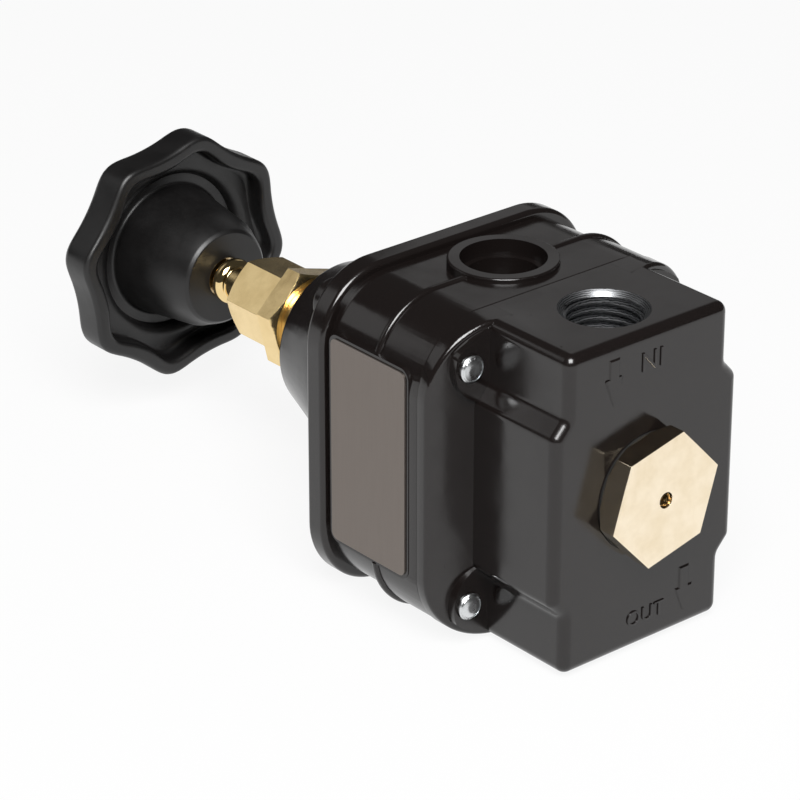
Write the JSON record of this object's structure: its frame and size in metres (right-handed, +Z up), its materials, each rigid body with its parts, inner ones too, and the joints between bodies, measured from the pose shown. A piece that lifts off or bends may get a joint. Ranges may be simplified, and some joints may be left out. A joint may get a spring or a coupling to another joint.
{
  "type": "pneumatic pressure regulator",
  "caption": "Pilot-operated pneumatic pressure regulator with square die-cast housings, threaded ports on top and bottom, a brass hexagon plug and a lobed adjusting knob.",
  "frame": {"origin": "centre of the outlet port's mouth on the underside", "axes": "+Y along the spindle toward the knob, +Z up through both ports, +X across"},
  "size_m": [0.0544, 0.1271, 0.0545],
  "materials": {
    "enamel": "glossy black enamel on die casting",
    "brass": "machined, lightly polished",
    "knob_plastic": "semi-matte moulded black",
    "zinc_steel": "bright zinc plating",
    "foil": "satin foil",
    "rubber": "moulded",
    "aluminium": "turned",
    "spring_steel": "drawn wire",
    "bronze": "sintered"
  },
  "bodies": {
    "root": {"valve_body": "enamel", "middle_body": "enamel", "bonnet": "enamel", "bonnet_insert": "brass", "lock_nut": "brass", "spindle_bush": "brass", "body_screws": "zinc_steel", "rating_label": "foil", "bottom_plug": "brass", "plug_seal": "rubber", "stem_o_ring": "rubber", "valve_seat": "brass", "nozzle": "brass", "restrictor": "brass", "filter_screen": "bronze", "relay_diaphragm": "rubber", "control_diaphragm": "rubber", "range_spring": "spring_steel", "valve_spring": "spring_steel"},
    "supply_valve": {"supply_valve": "brass", "valve_seal": "rubber"},
    "relay": {"relay_plate": "aluminium", "relay_washer": "aluminium", "exhaust_seat": "brass", "relay_nut": "brass"},
    "control": {"control_plate": "aluminium", "flapper": "zinc_steel", "spring_plate": "aluminium", "control_nut": "brass"},
    "spring_seat": {"spring_seat": "zinc_steel", "thrust_ball": "zinc_steel"},
    "knob": {"control_knob": "knob_plastic", "knob_insert": "brass", "adjusting_spindle": "brass"}
  },
  "joints": [
    {"name": "spindle_travel", "type": "slide", "parent": "root", "child": "spring_seat", "axis": [0, 1, 0], "range_m": [-0.0045, 0.002], "deforming": ["range_spring"]},
    {"name": "knob_turn", "type": "hinge", "parent": "spring_seat", "child": "knob", "pos_m": [0, 0.0929, 0.0265], "axis": [0, 1, 0], "range_deg": [-1622, 722]},
    {"name": "control_travel", "type": "slide", "parent": "root", "child": "control", "axis": [0, 1, 0], "range_m": [-0.0003, 0.0005], "stiffness_N_per_m": 500, "deforming": ["control_diaphragm"]},
    {"name": "valve_travel", "type": "slide", "parent": "root", "child": "supply_valve", "axis": [0, 1, 0], "range_m": [-0.001, 0], "stiffness_N_per_m": 500, "deforming": ["valve_spring", "relay_diaphragm"]},
    {"name": "relay_lift", "type": "slide", "parent": "supply_valve", "child": "relay", "axis": [0, 1, 0], "range_m": [0, 0.0005], "stiffness_N_per_m": 500, "deforming": ["relay_diaphragm"]}
  ],
  "couplings": [
    {"joint": "knob_turn", "follows": "spindle_travel", "rad_per_m": 6283.2}
  ]
}
